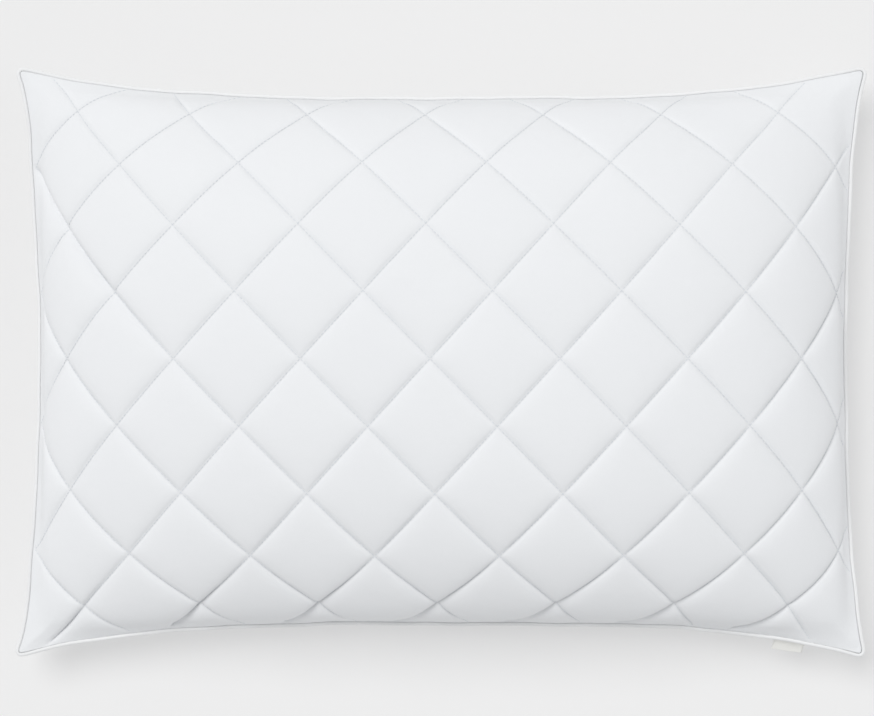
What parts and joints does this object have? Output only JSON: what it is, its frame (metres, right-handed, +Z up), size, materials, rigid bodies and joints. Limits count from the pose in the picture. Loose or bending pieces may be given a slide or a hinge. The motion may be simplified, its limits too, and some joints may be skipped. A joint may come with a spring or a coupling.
{
  "type": "bed pillow",
  "caption": "Soft rectangular bed pillow with a diamond-quilted cover, piped edge and side label, filled with fibre.",
  "frame": {"origin": "centre of the pillow's plan at the level it rests on", "axes": "+X along the pillow's length, +Y to the back edge (the label is on the front edge), +Z up"},
  "size_m": [0.6574, 0.4556, 0.1657],
  "materials": {
    "top_face_fabric": "matt white woven fabric",
    "top_wadding": "loose white wadding",
    "top_backing": "thin off-white nonwoven",
    "top_quilting_thread": "white sewing thread",
    "bottom_face_fabric": "matt white woven fabric",
    "bottom_wadding": "loose white wadding",
    "bottom_backing": "thin off-white nonwoven",
    "bottom_quilting_thread": "white sewing thread",
    "fibre_fill": "lofty white polyester fibre",
    "piping_cover": "matt white bias strip",
    "piping_cord": "twisted white cord",
    "seam_thread": "white sewing thread",
    "label_tail": "cream satin tape",
    "label_flap": "cream satin tape"
  },
  "bodies": {
    "pillow": {"top_face_fabric": "top_face_fabric", "top_wadding": "top_wadding", "top_backing": "top_backing", "top_quilting_thread": "top_quilting_thread", "bottom_face_fabric": "bottom_face_fabric", "bottom_wadding": "bottom_wadding", "bottom_backing": "bottom_backing", "bottom_quilting_thread": "bottom_quilting_thread", "fibre_fill": "fibre_fill", "piping_cover": "piping_cover", "piping_cord": "piping_cord", "seam_thread": "seam_thread", "label_tail": "label_tail"},
    "label": {"label_flap": "label_flap"}
  },
  "joints": [
    {"name": "label_swing", "type": "hinge", "parent": "pillow", "child": "label", "pos_m": [0.26857, -0.2153, 0.04489], "axis": [-0.9888, 0.1402, 0.051], "range_deg": [-60, 60]}
  ]
}
